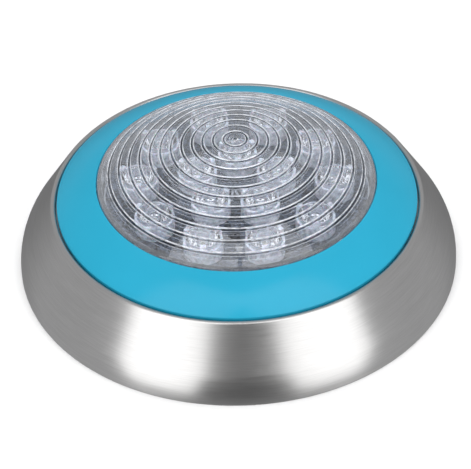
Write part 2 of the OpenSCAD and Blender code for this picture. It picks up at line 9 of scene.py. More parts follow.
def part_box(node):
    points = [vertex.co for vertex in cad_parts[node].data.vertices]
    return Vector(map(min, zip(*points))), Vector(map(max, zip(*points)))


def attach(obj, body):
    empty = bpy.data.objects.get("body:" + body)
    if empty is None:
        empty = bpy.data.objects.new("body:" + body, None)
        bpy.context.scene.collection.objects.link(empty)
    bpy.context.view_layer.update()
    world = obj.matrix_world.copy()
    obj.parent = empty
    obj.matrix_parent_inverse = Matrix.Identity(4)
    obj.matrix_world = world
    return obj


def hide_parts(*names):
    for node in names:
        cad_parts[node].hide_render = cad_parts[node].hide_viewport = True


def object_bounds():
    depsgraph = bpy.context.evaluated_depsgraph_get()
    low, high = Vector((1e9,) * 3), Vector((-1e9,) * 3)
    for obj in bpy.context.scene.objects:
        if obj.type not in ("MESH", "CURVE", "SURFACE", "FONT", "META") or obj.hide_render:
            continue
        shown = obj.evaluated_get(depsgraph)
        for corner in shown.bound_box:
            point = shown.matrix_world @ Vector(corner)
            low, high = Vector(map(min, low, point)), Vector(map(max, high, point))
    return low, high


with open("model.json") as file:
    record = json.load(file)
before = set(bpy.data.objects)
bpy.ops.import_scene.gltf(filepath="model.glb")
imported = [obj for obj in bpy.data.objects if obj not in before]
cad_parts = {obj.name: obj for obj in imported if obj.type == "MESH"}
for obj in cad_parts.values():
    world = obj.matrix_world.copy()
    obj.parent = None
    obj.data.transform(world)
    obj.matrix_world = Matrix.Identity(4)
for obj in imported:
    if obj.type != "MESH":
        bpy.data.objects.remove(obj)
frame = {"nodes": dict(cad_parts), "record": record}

cad_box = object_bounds()
nodes = frame["nodes"]
MM = 0.001    # sizes below are in millimetres, and the scene is in metres


# ---------------------------------------------------------------- camera and light

TARGET = Vector((0.0, 0.0, 0.030))
VIEW_ELEVATION = math.radians(40.34)
VIEW_ROLL = math.radians(-1.62)
VIEW_DISTANCE = 1.4505
AIM_YAW = math.radians(0.0364)      # the light sits a little right of the frame's middle
AIM_PITCH = math.radians(0.4907)    # and a little above it
LENS_MM = 211.95


def make_camera():
    back = Vector((0.0, -math.cos(VIEW_ELEVATION), math.sin(VIEW_ELEVATION)))
    level_up = Vector((0.0, math.sin(VIEW_ELEVATION), math.cos(VIEW_ELEVATION)))
    level_right = Vector((1.0, 0.0, 0.0))
    right = level_right * math.cos(VIEW_ROLL) + level_up * math.sin(VIEW_ROLL)
    up = level_up * math.cos(VIEW_ROLL) - level_right * math.sin(VIEW_ROLL)
    forward = (-back - right * math.tan(AIM_YAW) - up * math.tan(AIM_PITCH)).normalized()
    right = forward.cross(up).normalized()
    up = right.cross(forward).normalized()
    data = bpy.data.cameras.new("camera")
    data.sensor_fit = "HORIZONTAL"
    data.sensor_width = 36.0
    data.lens = LENS_MM
    data.clip_start = 0.05
    data.clip_end = 50.0
    camera = bpy.data.objects.new("camera", data)
    bpy.context.scene.collection.objects.link(camera)
    turn = Matrix((right, up, -forward)).transposed().to_4x4()
    camera.matrix_world = Matrix.Translation(TARGET + back * VIEW_DISTANCE) @ turn
    bpy.context.scene.camera = camera


def from_front(azimuth, elevation, distance, centre=TARGET):
    """A point seen from the light at this azimuth (0 is the camera's side, 90 is +X) and elevation."""
    a, e = math.radians(azimuth), math.radians(elevation)
    return centre + distance * Vector((math.sin(a) * math.cos(e), -math.cos(a) * math.cos(e), math.sin(e)))


def softbox(name, azimuth, elevation, distance, width, height, power):
    data = bpy.data.lights.new(name, "AREA")
    data.shape = "RECTANGLE"
    data.size = width
    data.size_y = height
    data.energy = power
    lamp = bpy.data.objects.new(name, data)
    bpy.context.scene.collection.objects.link(lamp)
    lamp.location = from_front(azimuth, elevation, distance)
    lamp.rotation_euler = (TARGET - lamp.location).to_track_quat("-Z", "Y").to_euler()
    return lamp


def make_light():
    """Two tall softboxes in front give the skirt its bright bands; a third overhead lights the LED board."""
    softbox("softbox_left", -38, 25, 1.6, 1.22, 4.1, 26.5)
    softbox("softbox_right", 41.5, 25, 1.6, 1.25, 4.1, 26.5)
    overhead = softbox("softbox_top", 180, 65, 2.2, 2.4, 1.6, 24)
    overhead.visible_glossy = False    # it lights the lens's inside without veiling the lens

    world = bpy.data.worlds.new("studio")
    world.use_nodes = True
    t = Tree(world.node_tree)
    background = t.nt.nodes["Background"]
    background.inputs["Color"].default_value = (0.98, 0.985, 1.0, 1.0)
    split = t.new("ShaderNodeSeparateXYZ")
    t.put(t.new("ShaderNodeTexCoord").outputs["Generated"], split.inputs[0])
    # The room is dark on the camera's side, lighter behind the light, and dimmer again low on the far wall
    room = t.fit(split.outputs["Y"], -1.0, -0.2, 0.075, 0.46, smooth=True)
    far = t.fit(split.outputs["Y"], 0.4, 0.85, 0.0, 0.6)
    low = t.fit(split.outputs["Z"], -0.15, 0.10, 1.0, 0.0)
    room = t.math("MULTIPLY", room, t.math("SUBTRACT", 1.0, t.math("MULTIPLY", far, low)))
    # The camera itself sees a plain pale backdrop
    seen = t.new("ShaderNodeMix", data_type="FLOAT")
    t.put(t.new("ShaderNodeLightPath").outputs["Is Camera Ray"], seen.inputs["Factor"])
    t.put(room, seen.inputs["A"])
    seen.inputs["B"].default_value = 0.95
    t.put(seen.outputs["Result"], background.inputs["Strength"])

    scene = bpy.context.scene
    scene.world = world
    scene.view_settings.view_transform = "Standard"
    scene.view_settings.look = "None"


def make_floor():
    side = 4.0
    mesh = bpy.data.meshes.new("floor")
    corners = [(-side, -side, 0), (side, -side, 0), (side, side, 0), (-side, side, 0)]
    mesh.from_pydata(corners, [], [(0, 1, 2, 3)])
    floor = bpy.data.objects.new("floor", mesh)
    bpy.context.scene.collection.objects.link(floor)
    floor.location.z = cad_box[0][2] - 0.1 * MM
    paper = plain("floor_paper", (0.95, 0.95, 0.95), (0.93, 0.93, 0.93), 6, 0.75, 0.9, 0.02, 900)
    floor.data.materials.append(paper)
    # The metal reflects the room and the softboxes instead of white paper
    floor.visible_glossy = False
    floor.visible_shadow = False


# ---------------------------------------------------------------- material helpers


class Tree:
    """Short forms for wiring a node tree."""

    def __init__(self, node_tree):
        self.nt = node_tree

    def new(self, kind, **settings):
        node = self.nt.nodes.new(kind)
        for key, value in settings.items():
            setattr(node, key, value)
        return node

    def put(self, source, target):
        if hasattr(source, "links"):
            self.nt.links.new(source, target)
        else:
            target.default_value = source

    def math(self, operation, a, b):
        node = self.new("ShaderNodeMath", operation=operation)
        self.put(a, node.inputs[0])
        self.put(b, node.inputs[1])
        return node.outputs[0]

    def fit(self, value, low, high, to_low, to_high, smooth=False):
        """The value carried from one range to another, and held at the ends."""
        node = self.new("ShaderNodeMapRange")
        if smooth:
            node.interpolation_type = "SMOOTHSTEP"
        self.put(value, node.inputs["Value"])
        node.inputs["From Min"].default_value = low
        node.inputs["From Max"].default_value = high
        node.inputs["To Min"].default_value = to_low
        node.inputs["To Max"].default_value = to_high
        return node.outputs["Result"]


class Graph(Tree):
    """A material with the patterns its surface is built from."""

    def __init__(self, name):
        self.material = bpy.data.materials.new(name)
        self.material.use_nodes = True
        super().__init__(self.material.node_tree)
        self.bsdf = self.nt.nodes["Principled BSDF"]
        self.output = self.nt.nodes["Material Output"]

    def position(self):
        return self.new("ShaderNodeTexCoord").outputs["Object"]

    def noise(self, vector, scale, detail=3.0, roughness=0.55, distortion=0.0):
        node = self.new("ShaderNodeTexNoise")
        self.put(vector, node.inputs["Vector"])
        node.inputs["Scale"].default_value = scale
        node.inputs["Detail"].default_value = detail
        node.inputs["Roughness"].default_value = roughness
        node.inputs["Distortion"].default_value = distortion
        return node.outputs["Fac"]

    def cells(self, vector, scale, feature="F1"):
        node = self.new("ShaderNodeTexVoronoi", feature=feature)
        self.put(vector, node.inputs["Vector"])
        node.inputs["Scale"].default_value = scale
        return node.outputs["Distance"]

    def blend(self, factor, a, b):
        node = self.new("ShaderNodeMix", data_type="RGBA")
        self.put(factor, node.inputs["Factor"])
        for value, socket in ((a, node.inputs[6]), (b, node.inputs[7])):
            if hasattr(value, "links"):
                self.put(value, socket)
            else:
                socket.default_value = (*value, 1.0)
        return node.outputs[2]

    def bump(self, height, distance, strength=1.0):
        node = self.new("ShaderNodeBump")
        node.inputs["Strength"].default_value = strength
        node.inputs["Distance"].default_value = distance
        self.put(height, node.inputs["Height"])
        return node.outputs["Normal"]

    def around_axis(self, across, along):
        """Coordinates for marks that run round the Z axis: slow along the turn, fast down the profile."""
        position = self.position()
        split = self.new("ShaderNodeSeparateXYZ")
        self.put(position, split.inputs[0])
        flat = self.new("ShaderNodeCombineXYZ")
        self.put(split.outputs["X"], flat.inputs["X"])
        self.put(split.outputs["Y"], flat.inputs["Y"])
        unit = self.new("ShaderNodeVectorMath", operation="NORMALIZE")
        self.put(flat.outputs[0], unit.inputs[0])
        length = self.new("ShaderNodeVectorMath", operation="LENGTH")
        self.put(flat.outputs[0], length.inputs[0])
        profile = self.math("SUBTRACT", split.outputs["Z"], length.outputs["Value"])
        turn = self.new("ShaderNodeSeparateXYZ")
        self.put(unit.outputs[0], turn.inputs[0])
        out = self.new("ShaderNodeCombineXYZ")
        self.put(self.math("MULTIPLY", turn.outputs["X"], along), out.inputs["X"])
        self.put(self.math("MULTIPLY", turn.outputs["Y"], along), out.inputs["Y"])
        self.put(self.math("MULTIPLY", profile, across), out.inputs["Z"])
        return out.outputs[0]

    def stretched(self, x, y, z):
        node = self.new("ShaderNodeVectorMath", operation="MULTIPLY")
        self.put(self.position(), node.inputs[0])
        node.inputs[1].default_value = (x, y, z)
        return node.outputs[0]

    def radius(self, position):
        """Distance from the upright axis."""
        flat = self.new("ShaderNodeVectorMath", operation="MULTIPLY")
        self.put(position, flat.inputs[0])
        flat.inputs[1].default_value = (1.0, 1.0, 0.0)
        length = self.new("ShaderNodeVectorMath", operation="LENGTH")
        self.put(flat.outputs[0], length.inputs[0])
        return length.outputs["Value"]

    def distance(self, position, centre):
        node = self.new("ShaderNodeVectorMath", operation="DISTANCE")
        self.put(position, node.inputs[0])
        node.inputs[1].default_value = centre
        return node.outputs["Value"]


def plain(name, colour, second, scale, rough_low, rough_high, bump, grain,
          metallic=0.0, coat=0.0, spots=0.0):
    """Moulded, cast, painted or rubber surface: mottled colour, uneven gloss and a fine grain."""
    g = Graph(name)
    position = g.position()
    mottle = g.noise(position, scale, 4.0, 0.6)
    g.put(g.blend(g.fit(mottle, 0.35, 0.65, 0.0, 1.0), colour, second), g.bsdf.inputs["Base Color"])
    gloss = g.noise(position, scale * 3.1, 3.0, 0.6)
    g.put(g.fit(gloss, 0.3, 0.7, rough_low, rough_high), g.bsdf.inputs["Roughness"])
    fine = g.noise(position, grain, 2.0, 0.5)
    if spots:
        pits = g.fit(g.cells(position, grain * 0.35), 0.0, spots, 0.0, 1.0)
        fine = g.math("MULTIPLY", fine, pits)
    g.put(g.bump(fine, bump * MM), g.bsdf.inputs["Normal"])
    g.bsdf.inputs["Metallic"].default_value = metallic
    g.bsdf.inputs["Coat Weight"].default_value = coat
    g.bsdf.inputs["Coat Roughness"].default_value = 0.08
    return g.material


def brushed_round(name, colour, dark, rough_low, rough_high):
    """Steel brushed round the Z axis, as a spun shell is on the lathe."""
    g = Graph(name)
    lines = g.noise(g.around_axis(3400.0, 9.0), 1.0, 2.0, 0.6)
    long_lines = g.noise(g.around_axis(900.0, 3.0), 1.0, 3.0, 0.6)
    cloud = g.noise(g.position(), 22.0, 4.0, 0.6)
    shade = g.math("ADD", g.math("MULTIPLY", lines, 0.6), g.math("MULTIPLY", long_lines, 0.4))
    tone = g.blend(g.fit(shade, 0.36, 0.64, 0.0, 1.0), dark, colour)
    g.put(tone, g.bsdf.inputs["Base Color"])
    wear = g.math("ADD", g.math("MULTIPLY", cloud, 0.5), g.math("MULTIPLY", long_lines, 0.5))
    g.put(g.fit(wear, 0.38, 0.62, rough_low, rough_high), g.bsdf.inputs["Roughness"])
    g.put(g.bump(lines, 0.004 * MM, 0.6), g.bsdf.inputs["Normal"])
    g.bsdf.inputs["Metallic"].default_value = 1.0
    g.bsdf.inputs["Anisotropic"].default_value = 0.75
    g.bsdf.inputs["Anisotropic Rotation"].default_value = 0.25
    tangent = g.new("ShaderNodeTangent", direction_type="RADIAL", axis="Z")
    g.put(tangent.outputs[0], g.bsdf.inputs["Tangent"])
    return g.material


SHEET_GRAIN = (60.0, 900.0, 900.0)        # marks drawn out along X
TURNED_GRAIN = (700.0, 700.0, 3200.0)     # fine marks across the height of small turned parts


def rolled_steel(name, colour, dark, rough_low, rough_high, grain):
    """Mill-finish sheet or turned hardware, with fine straight marks."""
    g = Graph(name)
    lines = g.noise(g.stretched(*grain), 1.0, 3.0, 0.6)
    cloud = g.noise(g.position(), 90.0, 4.0, 0.65)
    g.put(g.blend(g.fit(lines, 0.35, 0.65, 0.0, 1.0), dark, colour), g.bsdf.inputs["Base Color"])
    g.put(g.fit(cloud, 0.35, 0.65, rough_low, rough_high), g.bsdf.inputs["Roughness"])
    g.put(g.bump(lines, 0.006 * MM), g.bsdf.inputs["Normal"])
    g.bsdf.inputs["Metallic"].default_value = 1.0
    return g.material


PAINTED_RING_SHADE = (0.09, 0.10, 0.12)    # painted shade: a dark tint down the middle of each moulded ring, standing in for the dark line its edges make by refraction


def lens_finish(g, position, tint):
    """Haze round the lens's dome and on the moulded rings' shoulders, and painted shade: a dark tint along
    the middle of each ring.
    """
    cloud = g.noise(position, 260.0, 4.0, 0.7)
    radius = g.radius(position)
    outside = g.fit(radius, (LENS_INNER_R - 0.6) * MM, (LENS_INNER_R + 0.2) * MM, 0.0, 1.0, True)
    edge_haze = g.math("MULTIPLY", outside, g.fit(cloud, 0.35, 0.65, 0.10, 0.02))
    off_ring = g.math("PINGPONG", g.math("SUBTRACT", radius, RING_FIRST * MM), RING_STEP / 2 * MM)
    rise = g.fit(off_ring, 0.56 * MM, 0.68 * MM, 0.0, 1.0, True)
    fall = g.fit(off_ring, 0.90 * MM, 1.02 * MM, 1.0, 0.0, True)
    shoulder = g.math("MULTIPLY", g.math("MULTIPLY", rise, fall), g.fit(cloud, 0.38, 0.62, 0.25, 0.70))
    height = g.distance(position, (0.0, 0.0, (APEX_Z - DOME_R) * MM))
    on_top = g.fit(height, (DOME_R - 1.6) * MM, (DOME_R - 1.2) * MM, 0.35, 1.0)
    in_dome = g.math("SUBTRACT", 1.0, outside)
    ring_haze = g.math("MULTIPLY", g.math("MULTIPLY", shoulder, on_top), in_dome)
    # Painted shade: the middle of each ring on the outer face is tinted dark, in place of the dark line that
    # refraction at the ring's edges makes
    painted_ring_shade_mask = g.math("MULTIPLY", g.fit(off_ring, 0.26 * MM, 0.46 * MM, 1.0, 0.0, True), in_dome)
    painted_ring_shade_mask = g.math("MULTIPLY", painted_ring_shade_mask, g.fit(on_top, 0.35, 1.0, 0.0, 1.0))
    g.put(g.blend(painted_ring_shade_mask, tint, PAINTED_RING_SHADE), g.bsdf.inputs["Base Color"])
    # Fine scratches show as a veil where the lens is seen at a slant
    slant = g.new("ShaderNodeLayerWeight").outputs["Facing"]
    veil = g.math("MULTIPLY", g.fit(slant, 0.15, 0.80, 0.0, 0.19), g.fit(cloud, 0.38, 0.62, 0.7, 1.2))
    haze = g.math("ADD", g.math("ADD", edge_haze, ring_haze), g.math("MULTIPLY", veil, on_top))
    g.put(g.math("SUBTRACT", 1.0, haze), g.bsdf.inputs["Transmission Weight"])


def clear_plastic(name, tint, ior, rough_high, wave_scale, finish=None):
    """Polished clear moulding. Lamps shine through it, so that what it covers is lit."""
    g = Graph(name)
    position = g.position()
    g.bsdf.inputs["Base Color"].default_value = (*tint, 1.0)
    g.bsdf.inputs["Transmission Weight"].default_value = 1.0
    if finish is not None:
        finish(g, position, tint)
    g.bsdf.inputs["IOR"].default_value = ior
    wear = g.noise(position, 120.0, 4.0, 0.7)
    g.put(g.fit(wear, 0.45, 0.7, 0.0, rough_high), g.bsdf.inputs["Roughness"])
    ripple = g.noise(position, wave_scale, 2.0, 0.5)
    g.put(g.bump(ripple, 0.004 * MM), g.bsdf.inputs["Normal"])
    path = g.new("ShaderNodeLightPath")
    clear = g.new("ShaderNodeBsdfTransparent")
    clear.inputs["Color"].default_value = (*tint, 1.0)
    mix = g.new("ShaderNodeMixShader")
    g.put(path.outputs["Is Shadow Ray"], mix.inputs["Fac"])
    g.put(g.bsdf.outputs[0], mix.inputs[1])
    g.put(clear.outputs[0], mix.inputs[2])
    g.put(mix.outputs[0], g.output.inputs["Surface"])
    return g.material


def frosted(name):
    """White frosted moulding, a little uneven in tone, which lets some light into itself."""
    g = Graph(name)
    position = g.position()
    cloud = g.noise(position, 420.0, 4.0, 0.65)
    g.put(g.blend(g.fit(cloud, 0.36, 0.64, 0.0, 1.0), (0.36, 0.375, 0.41), (0.72, 0.735, 0.77)),
          g.bsdf.inputs["Base Color"])
    g.put(g.fit(cloud, 0.3, 0.7, 0.18, 0.38), g.bsdf.inputs["Roughness"])
    g.put(g.bump(g.noise(position, 1500.0, 2.0, 0.5), 0.02 * MM), g.bsdf.inputs["Normal"])
    g.bsdf.inputs["Subsurface Weight"].default_value = 0.3
    g.bsdf.inputs["Subsurface Scale"].default_value = 0.002
    return g.material


def ring_plastic(name):
    """Glossy blue moulding with a very slight orange peel and fine handling marks."""
    g = Graph(name)
    position = g.position()
    cloud = g.noise(position, 14.0, 3.0, 0.5)
    g.put(g.blend(g.fit(cloud, 0.35, 0.65, 0.0, 1.0), (0.016, 0.325, 0.490), (0.020, 0.343, 0.518)),
          g.bsdf.inputs["Base Color"])
    marks = g.noise(g.around_axis(900.0, 6.0), 1.0, 4.0, 0.7)
    g.put(g.fit(marks, 0.4, 0.75, 0.16, 0.26), g.bsdf.inputs["Roughness"])
    peel = g.noise(position, 420.0, 2.0, 0.5)
    g.put(g.bump(peel, 0.010 * MM), g.bsdf.inputs["Normal"])
    g.bsdf.inputs["IOR"].default_value = 1.46
    g.bsdf.inputs["Specular IOR Level"].default_value = 0.27
    return g.material


def board_mask(name):
    """Dark solder mask over a plated aluminium board: mottled grey with bright plated patches."""
    g = Graph(name)
    position = g.position()
    mottle = g.noise(position, 760.0, 3.0, 0.65, 0.6)
    patches = g.noise(position, 70.0, 4.0, 0.65, 0.4)
    mix = g.math("ADD", g.math("MULTIPLY", mottle, 0.8), g.math("MULTIPLY", patches, 0.2))
    g.put(g.blend(g.fit(mix, 0.45, 0.57, 0.0, 1.0), (0.001, 0.002, 0.003), (0.115, 0.14, 0.185)),
          g.bsdf.inputs["Base Color"])
    g.put(g.fit(patches, 0.35, 0.65, 0.22, 0.45), g.bsdf.inputs["Roughness"])
    g.put(g.fit(mix, 0.47, 0.57, 0.0, 0.4), g.bsdf.inputs["Metallic"])
    g.put(g.bump(mottle, 0.06 * MM), g.bsdf.inputs["Normal"])
    return g.material


def led_package(name):
    """The LED package: white ceramic, with a dull phosphor dome above its top face."""
    g = Graph(name)
    split = g.new("ShaderNodeSeparateXYZ")
    g.put(g.position(), split.inputs[0])
    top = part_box("leds_outer")[0][2] + LED_H * MM
    above = g.fit(split.outputs["Z"], top + 0.02 * MM, top + 0.12 * MM, 0.0, 1.0)
    grain = g.noise(g.position(), 1800.0, 3.0, 0.6)
    white = g.blend(g.fit(grain, 0.35, 0.65, 0.0, 1.0), (0.72, 0.72, 0.70), (0.80, 0.80, 0.78))
    phosphor = g.blend(g.fit(grain, 0.35, 0.65, 0.0, 1.0), (0.30, 0.29, 0.24), (0.42, 0.40, 0.33))
    g.put(g.blend(above, white, phosphor), g.bsdf.inputs["Base Color"])
    g.put(g.fit(above, 0.0, 1.0, 0.5, 0.15), g.bsdf.inputs["Roughness"])
    g.put(g.bump(grain, 0.01 * MM), g.bsdf.inputs["Normal"])
    return g.material


def build_materials():
    return {
        "brushed_stainless": brushed_round(
            "steel_brushed_round", (0.65, 0.645, 0.64), (0.56, 0.555, 0.55), 0.29, 0.35),
        "plain_stainless": rolled_steel(
            "steel_rolled", (0.66, 0.66, 0.65), (0.55, 0.55, 0.55), 0.22, 0.40, SHEET_GRAIN),
        "turned_stainless": rolled_steel(
            "steel_turned", (0.70, 0.70, 0.69), (0.56, 0.56, 0.56), 0.16, 0.30, TURNED_GRAIN),
        "black_steel": rolled_steel(
            "steel_blackened", (0.10, 0.10, 0.11), (0.05, 0.05, 0.055), 0.35, 0.5, TURNED_GRAIN),
        "blue_gloss_plastic": ring_plastic("plastic_blue_gloss"),
        "clear_polycarbonate": clear_plastic(
            "plastic_clear_lens", (0.905, 0.930, 0.975), 1.56, 0.035, 160.0, lens_finish),
        "clear_acrylic": clear_plastic(
            "plastic_clear_optic", (0.97, 0.975, 0.985), 1.49, 0.05, 700.0),
        "holder_plastic": frosted("plastic_frosted_holder"),
        "led_board_mask": board_mask("board_mask_dark"),
        "led_package": led_package("led_ceramic_phosphor"),
        "housing_plastic": plain(
            "plastic_housing", (0.55, 0.56, 0.57), (0.50, 0.51, 0.52), 30, 0.42, 0.6, 0.02, 1500),
        "cast_aluminium": plain(
            "aluminium_cast", (0.72, 0.73, 0.74), (0.60, 0.61, 0.62), 60, 0.35, 0.55, 0.03, 1200,
            metallic=1.0),
        "thermal_pad": plain(
            "silicone_pad", (0.42, 0.43, 0.47), (0.36, 0.37, 0.41), 120, 0.6, 0.8, 0.02, 2500),
        "chip_black": plain(
            "package_black", (0.022, 0.022, 0.024), (0.035, 0.035, 0.038), 500, 0.4, 0.6, 0.01, 4000),
        "circuit_board_green": plain(
            "board_mask_green", (0.010, 0.16, 0.060), (0.016, 0.22, 0.085), 160, 0.2, 0.4, 0.02, 700,
            coat=0.4),
        "brass": plain(
            "brass_turned", (0.72, 0.50, 0.20), (0.60, 0.40, 0.15), 300, 0.2, 0.4, 0.01, 3000,
            metallic=1.0),
        "capacitor_sleeve": plain(
            "sleeve_dark_blue", (0.012, 0.02, 0.09), (0.02, 0.03, 0.12), 200, 0.25, 0.4, 0.01, 2500),
        "ferrite": plain(
            "ferrite_sintered", (0.05, 0.05, 0.055), (0.08, 0.08, 0.085), 400, 0.6, 0.85, 0.03, 3500,
            spots=0.3),
        "enamelled_copper": plain(
            "copper_enamelled", (0.55, 0.19, 0.06), (0.42, 0.13, 0.04), 300, 0.15, 0.3, 0.02, 2000,
            metallic=1.0, coat=0.5),
        "terminal_green": plain(
            "plastic_terminal_green", (0.02, 0.27, 0.07), (0.03, 0.32, 0.09), 150, 0.3, 0.45, 0.01, 2500),
        "connector_white": plain(
            "nylon_white", (0.74, 0.72, 0.66), (0.68, 0.66, 0.60), 150, 0.4, 0.6, 0.01, 2500),
        "lead_insulation": plain(
            "silicone_lead_grey", (0.36, 0.37, 0.39), (0.28, 0.29, 0.31), 200, 0.3, 0.5, 0.01, 2500),
        "black_rubber": plain(
            "rubber_black", (0.018, 0.018, 0.019), (0.030, 0.030, 0.031), 150, 0.6, 0.85, 0.03, 1800),
        "black_nylon": plain(
            "nylon_black", (0.022, 0.022, 0.024), (0.034, 0.034, 0.036), 120, 0.35, 0.55, 0.02, 1500),
        "solder": plain(
            "solder_tin", (0.75, 0.76, 0.78), (0.62, 0.63, 0.65), 900, 0.18, 0.35, 0.01, 3500,
            metallic=1.0),
    }


# ---------------------------------------------------------------- mesh helpers


def arc(cx, cy, r, first, last, steps):
    """Points on an arc in the profile plane, from angle first to angle last in degrees."""
    points = []
    for i in range(steps + 1):
        a = math.radians(first + (last - first) * i / steps)
        points.append((cx + r * math.cos(a), cy + r * math.sin(a)))
    return points


def rounded(points, radius, steps=4, sharpest=25.0):
    """The closed outline with every corner sharper than this eased by a small radius."""
    out = []
    count = len(points)
    for i in range(count):
        p, a, b = Vector(points[i]), Vector(points[i - 1]), Vector(points[(i + 1) % count])
        to_a, to_b = a - p, b - p
        if p.x <= 1e-9 or to_a.length < 1e-9 or to_b.length < 1e-9:
            out.append(tuple(p))
            continue
        bend = 180.0 - math.degrees(to_a.angle(to_b))
        if bend < sharpest:
            out.append(tuple(p))
            continue
        half = math.radians(180.0 - bend) / 2
        cut = min(radius / math.tan(half), 0.45 * to_a.length, 0.45 * to_b.length)
        r = cut * math.tan(half)
        start, end = p + to_a.normalized() * cut, p + to_b.normalized() * cut
        middle = p + (to_a.normalized() + to_b.normalized()).normalized() * (r / math.sin(half))
        v0, v1 = start - middle, end - middle
        swing = v0.angle(v1)
        sign = 1.0 if v0.x * v1.y - v0.y * v1.x > 0 else -1.0
        for k in range(steps + 1):
            t = sign * swing * k / steps
            out.append((middle.x + v0.x * math.cos(t) - v0.y * math.sin(t),
                        middle.y + v0.x * math.sin(t) + v0.y * math.cos(t)))
    return out


def revolve(bm, profile, segments, centre=(0.0, 0.0)):
    """Turns a closed outline of (radius, height), in millimetres, about the upright axis at centre."""
    poles = {}
    rings = []
    for r, z in profile:
        if r < 1e-6:
            key = round(z, 6)
            if key not in poles:
                poles[key] = bm.verts.new((centre[0] * MM, centre[1] * MM, z * MM))
            rings.append([poles[key]])
        else:
            rings.append([bm.verts.new(((centre[0] + r * math.cos(2 * math.pi * k / segments)) * MM,
                                        (centre[1] + r * math.sin(2 * math.pi * k / segments)) * MM, z * MM))
                          for k in range(segments)])
    for i in range(len(rings)):
        a, b = rings[i], rings[(i + 1) % len(rings)]
        if len(a) == 1 and len(b) == 1:
            continue
        for k in range(segments):
            n = (k + 1) % segments
            if len(a) == 1:
                bm.faces.new((a[0], b[k], b[n]))
            elif len(b) == 1:
                bm.faces.new((a[k], b[0], a[n]))
            else:
                bm.faces.new((a[k], b[k], b[n], a[n]))


def finish_mesh(bm, name, material, crease=32.0):
    bmesh.ops.recalc_face_normals(bm, faces=bm.faces)
    mesh = bpy.data.meshes.new(name)
    bm.to_mesh(mesh)
    bm.free()
    piece = bpy.data.objects.new(name, mesh)
    bpy.context.scene.collection.objects.link(piece)
    smooth(piece, crease)
    mesh.materials.append(material)
    return piece


def smooth(piece, crease):
    """Smooth shading that breaks at edges sharper than crease."""
    bm = bmesh.new()
    bm.from_mesh(piece.data)
    limit = math.radians(crease)
    for face in bm.faces:
        face.smooth = True
    for edge in bm.edges:
        edge.smooth = not (edge.is_manifold and edge.calc_face_angle(0.0) > limit)
    bm.to_mesh(piece.data)
    bm.free()


def combine(target, tool, operation):
    """Joins tool to target, or cuts it away, and removes tool."""
    modifier = target.modifiers.new("cut", "BOOLEAN")
    modifier.operation = operation
    modifier.solver = "EXACT"
    modifier.object = tool
    bpy.context.view_layer.update()
    depsgraph = bpy.context.evaluated_depsgraph_get()
    mesh = bpy.data.meshes.new_from_object(target.evaluated_get(depsgraph))
    target.modifiers.clear()
    old = target.data
    target.data = mesh
    mesh.name = target.name
    bpy.data.meshes.remove(old)
    bpy.data.objects.remove(tool)


def polar(r, angle):
    """The point at this radius and angle from the front (-Y) towards +X, in millimetres."""
    a = math.radians(angle)
    return (r * math.sin(a), -r * math.cos(a))


# ---------------------------------------------------------------- the object's own sizes, in millimetres

SKIRT_R = 115.0
SKIRT_T = 1.2
LIP_H = 2.0
SIDE_LEAN = 31.6
SHOULDER_ROUND = 1.6
SHOULDER_TOP = 39.4
FLANGE_TOP = 36.2
LENS_FLANGE_R = 80.0
LENS_FLANGE_T = 3.4

TRIM_OUTER_R = 93.9
TRIM_INNER_R = 72.8
TRIM_OUTER_Z = 39.9
TRIM_INNER_Z = 52.4
TRIM_T = 2.2
TRIM_BOW = 1.2
TRIM_INNER_BOTTOM = 45.5

LENS_R = 72.3
DOME_R = 114.0
APEX_Z = 78.5
LENS_T = 2.6
LENS_INNER_R = 69.1
RING_FIRST = 6.0
RING_STEP = 5.45
CENTRE_RING_R = 2.0
RING_RADII = [CENTRE_RING_R] + [RING_FIRST + RING_STEP * i for i in range(12)]
RING_W = 2.0
RING_DEPTH = 0.36

SEAT_R = TRIM_OUTER_R + 0.6
SHOULDER_R = SEAT_R + SHOULDER_ROUND
SHOULDER_Z = SHOULDER_TOP - SHOULDER_ROUND
CLAMP_SCREW_R = 84.5

OUTER_LEDS, OUTER_LED_R, OUTER_LED_FIRST = 10, 50.3, 15.5
INNER_LEDS, INNER_LED_R, INNER_LED_FIRST = 5, 21.5, 33.5
OPTIC_R = 8.8
OPTIC_Z = 43.1
OPTIC_H = 10.6
BOARD_TOP = 42.6
LED_H = 1.2


def led_places(count, radius, first):
    return [polar(radius, first + i * 360.0 / count) for i in range(count)]


OUTER_PLACES = led_places(OUTER_LEDS, OUTER_LED_R, OUTER_LED_FIRST)
INNER_PLACES = led_places(INNER_LEDS, INNER_LED_R, INNER_LED_FIRST)


# ---------------------------------------------------------------- pieces that stand for CAD nodes


